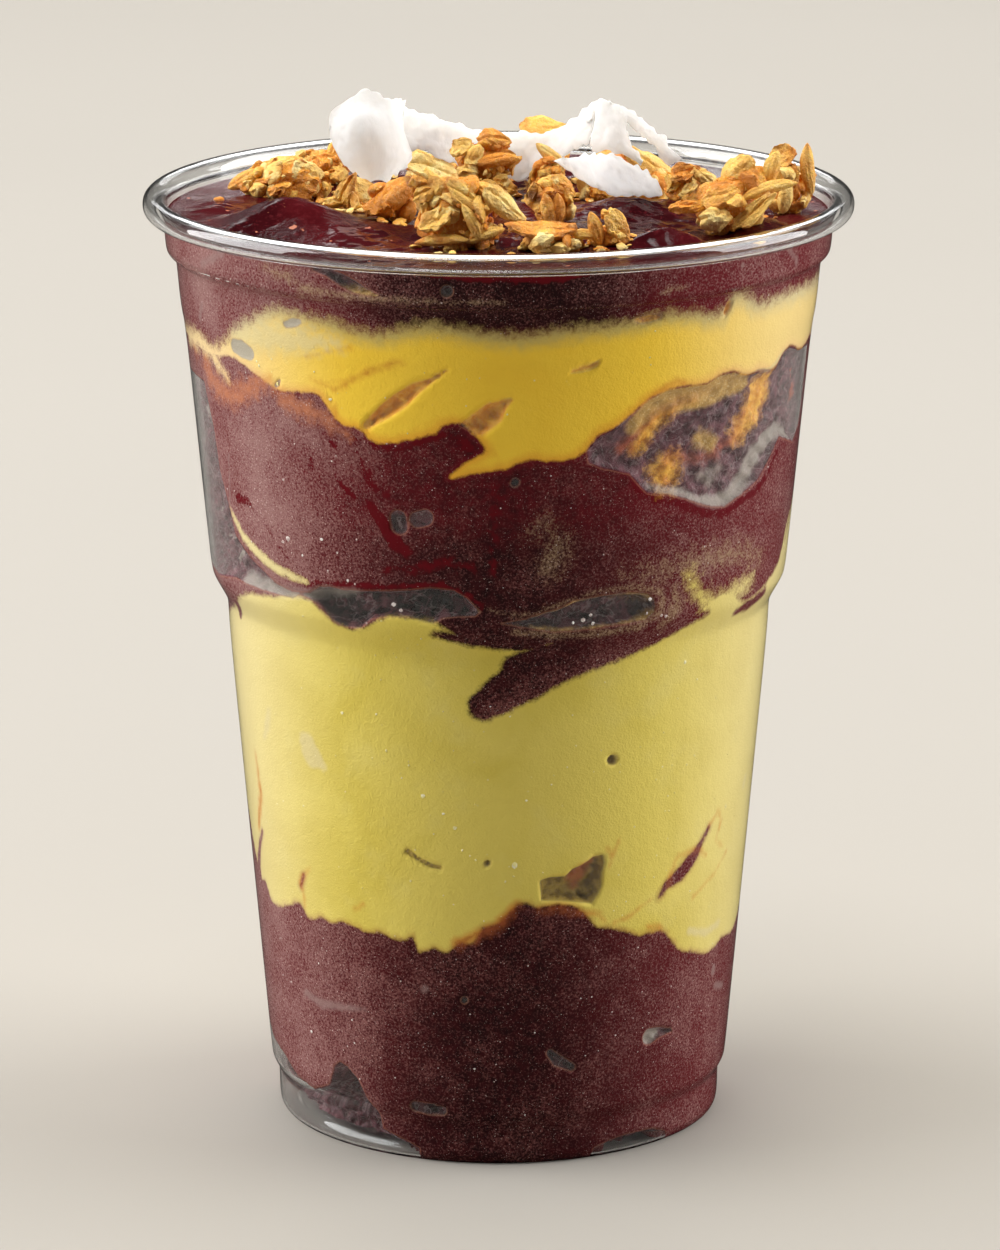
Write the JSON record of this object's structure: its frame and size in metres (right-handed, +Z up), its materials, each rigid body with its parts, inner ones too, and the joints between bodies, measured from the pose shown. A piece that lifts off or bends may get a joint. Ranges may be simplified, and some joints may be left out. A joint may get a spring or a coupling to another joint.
{
  "type": "layered acai cup with granola and coconut",
  "caption": "Clear plastic cup filled with layers of acai, green cream and yellow cream, topped with granola clusters and coconut shavings",
  "frame": {"origin": "centre of the ring that the cup stands on, on the surface it rests on", "axes": "+Z up along the cup's axis, -Y towards the side that the picture shows, +X to its right"},
  "size_m": [0.095, 0.095, 0.1393],
  "materials": {
    "clear_plastic": "clear glossy thin plastic",
    "acai": "dark purple frozen puree, frosty where it touches the wall and glossy on top",
    "green_cream": "smooth yellow-green frozen cream",
    "yellow_cream": "smooth warm yellow frozen cream",
    "granola": "toasted rolled oats and seeds with a honey glaze",
    "coconut": "thin white coconut shavings, slightly translucent"
  },
  "bodies": {
    "root": {"cup": "clear_plastic", "acai_bottom": "acai", "green_cream": "green_cream", "acai_middle": "acai", "yellow_cream": "yellow_cream", "acai_top": "acai", "coconut_petal": "coconut", "coconut_ribbon": "coconut", "coconut_curl": "coconut", "coconut_flake": "coconut", "granola_left": "granola", "granola_back_left": "granola", "granola_wedge": "granola", "granola_glazed": "granola", "granola_front": "granola", "granola_centre": "granola", "granola_long_seed": "granola", "granola_front_right": "granola", "granola_lobed": "granola", "granola_under_curl": "granola", "granola_leaning_seed": "granola", "granola_behind_front": "granola", "granola_far_left": "granola", "granola_far": "granola", "granola_far_right": "granola", "granola_back": "granola", "granola_slanting": "granola", "granola_middle_right": "granola", "granola_right": "granola", "granola_back_right": "granola"}
  },
  "joints": []
}
